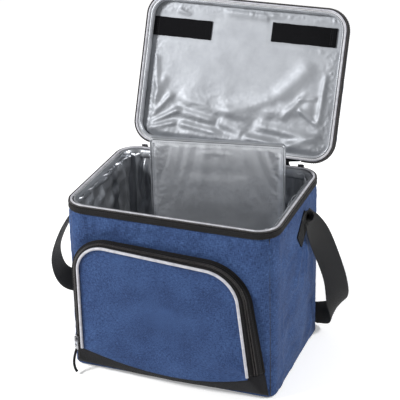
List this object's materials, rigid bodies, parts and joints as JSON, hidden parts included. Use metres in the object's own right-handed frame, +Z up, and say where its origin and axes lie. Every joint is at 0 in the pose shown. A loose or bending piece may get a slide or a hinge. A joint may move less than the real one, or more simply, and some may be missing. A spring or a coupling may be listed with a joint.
{
  "type": "insulated cooler bag",
  "caption": "Soft insulated tub bag with a foil liner, a zip-round hinged lid standing open, a zipped front pocket, a loose divider panel, a carry handle and a shoulder strap",
  "frame": {"origin": "on the floor at the centre of the bag's base", "axes": "+Z up; -Y is the front, the side with the pocket; +X to the right of someone who faces the pocket; the lid hinges at the back, +Y"},
  "size_m": [0.4925, 0.3756, 0.5096],
  "materials": {
    "blue_fabric": "matte",
    "black_fabric": "matte",
    "black_webbing": "matte",
    "foam": "matte",
    "foil": "satin",
    "grey_piping": "satin",
    "black_plastic": "satin",
    "steel": "satin"
  },
  "bodies": {
    "root": {"front_panel": "blue_fabric", "back_panel": "blue_fabric", "left_side_panel": "blue_fabric", "right_side_panel": "blue_fabric", "base_panel": "black_fabric", "base_board": "black_plastic", "base_foam": "foam", "front_foam": "foam", "back_foam": "foam", "left_foam": "foam", "right_foam": "foam", "liner": "foil", "liner_collar": "foil", "rim_piping": "grey_piping", "rim_zip_tape": "black_fabric", "rim_zip_coil": "black_plastic", "hinge_lower_flap": "black_fabric", "pocket_zip_band_front": "black_fabric", "pocket_zip_band_rear": "black_fabric", "pocket_foot_band": "black_fabric", "pocket_panel": "blue_fabric", "pocket_piping": "grey_piping", "pocket_zip_coil_front": "black_plastic", "pocket_zip_coil_rear": "black_plastic", "right_strap_tail": "black_webbing", "left_strap_tail": "black_webbing"},
    "hinge": {"hinge_fabric": "black_fabric"},
    "lid": {"lid_top_panel": "blue_fabric", "lid_side_band": "blue_fabric", "lid_piping": "grey_piping", "lid_foam": "foam", "lid_side_foam": "foam", "lid_liner": "foil", "lid_zip_tape": "black_fabric", "lid_zip_coil": "black_plastic", "hinge_upper_flap": "black_fabric", "left_handle_patch": "black_webbing", "right_handle_patch": "black_webbing"},
    "left_strip": {"left_hook_strip": "black_fabric"},
    "right_strip": {"right_hook_strip": "black_fabric"},
    "handle": {"carry_handle_webbing": "black_webbing", "carry_handle_grip": "black_webbing"},
    "pocket_slider": {"pocket_zip_slider": "steel"},
    "pocket_pull": {"pocket_pull_tab": "steel", "pocket_pull_cord": "black_webbing"},
    "right_slider": {"right_main_zip_slider": "steel"},
    "right_pull": {"right_main_zip_pull": "steel"},
    "left_slider": {"left_main_zip_slider": "steel"},
    "left_pull": {"left_main_zip_pull": "steel"},
    "divider": {"divider_foam": "foam", "divider_front_sheet": "foil", "divider_back_sheet": "foil", "divider_binding": "foil"},
    "strap": {"shoulder_strap": "black_webbing", "strap_adjuster": "black_plastic"}
  },
  "joints": [
    {"name": "lid_sag", "type": "slide", "parent": "root", "child": "hinge", "axis": [1, 0, 0], "range_m": [-0.0151, 0.00395]},
    {"name": "lid_hinge", "type": "hinge", "parent": "hinge", "child": "lid", "pos_m": [0, 0.121, 0.285], "axis": [-1, 0, 0], "range_deg": [-113, 29]},
    {"name": "divider_slide", "type": "slide", "parent": "root", "child": "divider", "axis": [0, 0, 1], "range_m": [-0.0501, 0.01293]},
    {"name": "strap_swing", "type": "hinge", "parent": "root", "child": "strap", "pos_m": [0, 0.04, 0.236], "axis": [1, 0, 0], "range_deg": [0, 75]},
    {"name": "handle_rock", "type": "hinge", "parent": "lid", "child": "handle", "pos_m": [0.015, 0.18871, 0.38771], "axis": [1, 0, 0], "range_deg": [-15, 15]},
    {"name": "left_strip_peel", "type": "hinge", "parent": "lid", "child": "left_strip", "pos_m": [-0.142, 0.2024, 0.45577], "axis": [0, -0.3907, -0.9205], "range_deg": [0, 40]},
    {"name": "right_strip_peel", "type": "hinge", "parent": "lid", "child": "right_strip", "pos_m": [0.162, 0.20552, 0.46314], "axis": [0, 0.3907, 0.9205], "range_deg": [0, 40]},
    {"name": "pocket_slide", "type": "slide", "parent": "root", "child": "pocket_slider", "axis": [0, 0, 1], "range_m": [0, 0.105]},
    {"name": "pocket_pull_swing", "type": "hinge", "parent": "pocket_slider", "child": "pocket_pull", "pos_m": [-0.14936, -0.13199, 0.056], "axis": [-0.7649, 0.6441, 0], "range_deg": [0, 70]},
    {"name": "right_slider_turn", "type": "hinge", "parent": "root", "child": "right_slider", "pos_m": [0.1315, 0.085, 0.276], "axis": [0, 0, -1], "range_deg": [0, 90]},
    {"name": "right_pull_swing", "type": "hinge", "parent": "right_slider", "child": "right_pull", "pos_m": [0.1315, 0.1237, 0.2772], "axis": [1, 0, 0], "range_deg": [0, 60]},
    {"name": "left_slider_turn", "type": "hinge", "parent": "root", "child": "left_slider", "pos_m": [-0.1315, 0.085, 0.276], "axis": [0, 0, 1], "range_deg": [0, 90]},
    {"name": "left_pull_swing", "type": "hinge", "parent": "left_slider", "child": "left_pull", "pos_m": [-0.1315, 0.1237, 0.2772], "axis": [1, 0, 0], "range_deg": [0, 60]}
  ],
  "couplings": [
    {"joint": "lid_sag", "follows": "lid_hinge", "m_per_rad": 0.0076056},
    {"joint": "divider_slide", "follows": "lid_hinge", "m_per_rad": 0.025352}
  ]
}
